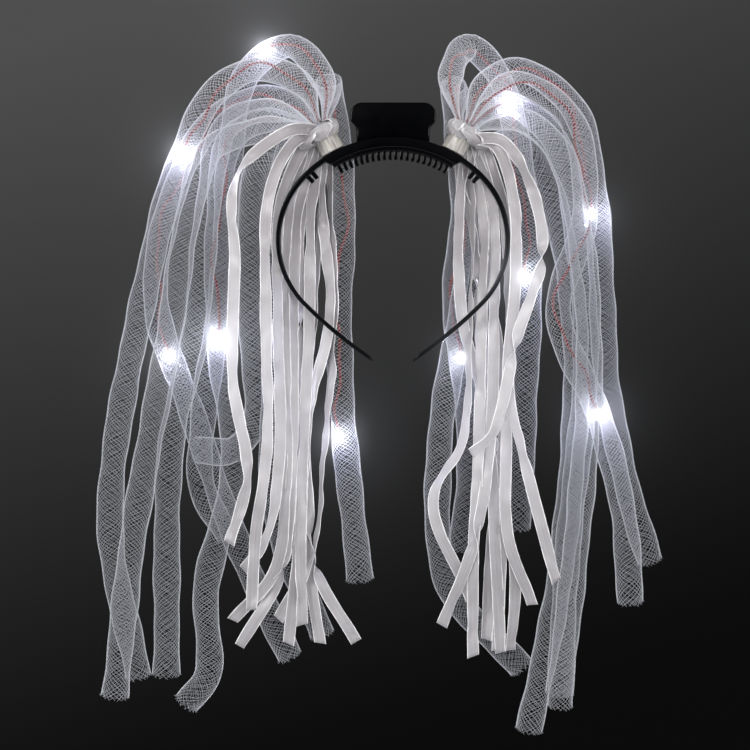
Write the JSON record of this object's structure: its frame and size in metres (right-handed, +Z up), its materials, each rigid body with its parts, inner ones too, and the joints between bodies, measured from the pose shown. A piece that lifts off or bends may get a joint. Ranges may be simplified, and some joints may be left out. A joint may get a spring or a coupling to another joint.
{
  "type": "light-up noodle headband",
  "caption": "Light-up party headband: black plastic hoop with comb and battery box, and two plumes of mesh tubes, lamps and satin ribbons that hang at its sides.",
  "frame": {"origin": "middle of the comb strip's underside at the crown, where the band sits on the head", "axes": "+Z up, -Y to the front (the battery box's bare face), +X to the right of the front view"},
  "size_m": [0.3235, 0.0755, 0.4023],
  "materials": {
    "black_plastic": "satin black moulding",
    "collar_tape": "wound film tape",
    "satin_ribbon": "satin weave",
    "mesh_tube": "clear braided filament mesh",
    "led_lead": "red and white insulated wire",
    "led_lamp": "clear lamp, lit"
  },
  "bodies": {
    "root": {"hoop": "black_plastic", "comb": "black_plastic", "battery_box": "black_plastic", "collar_left": "collar_tape", "ribbon_tassel_left": "satin_ribbon", "collar_right": "collar_tape", "ribbon_tassel_right": "satin_ribbon", "noodle_l1": "mesh_tube", "led_lead_l1": "led_lead", "led_lamp_l1": "led_lamp", "noodle_l2": "mesh_tube", "noodle_l3": "mesh_tube", "noodle_l4": "mesh_tube", "led_lead_l4": "led_lead", "led_lamp_l4": "led_lamp", "noodle_l5": "mesh_tube", "led_lead_l5": "led_lead", "led_lamp_l5": "led_lamp", "noodle_l6": "mesh_tube", "noodle_l7": "mesh_tube", "led_lead_l7": "led_lead", "led_lamp_l7": "led_lamp", "noodle_l8": "mesh_tube", "noodle_l9": "mesh_tube", "led_lead_l9": "led_lead", "led_lamp_l9": "led_lamp", "noodle_r1": "mesh_tube", "noodle_r2": "mesh_tube", "led_lead_r2": "led_lead", "led_lamp_r2": "led_lamp", "noodle_r3": "mesh_tube", "led_lead_r3": "led_lead", "led_lamp_r3": "led_lamp", "noodle_r4": "mesh_tube", "noodle_r5": "mesh_tube", "led_lead_r5": "led_lead", "led_lamp_r5": "led_lamp", "noodle_r6": "mesh_tube", "led_lead_r6": "led_lead", "led_lamp_r6": "led_lamp", "noodle_r7": "mesh_tube", "led_lead_r7": "led_lead", "led_lamp_r7": "led_lamp", "noodle_r8": "mesh_tube"}
  },
  "joints": []
}
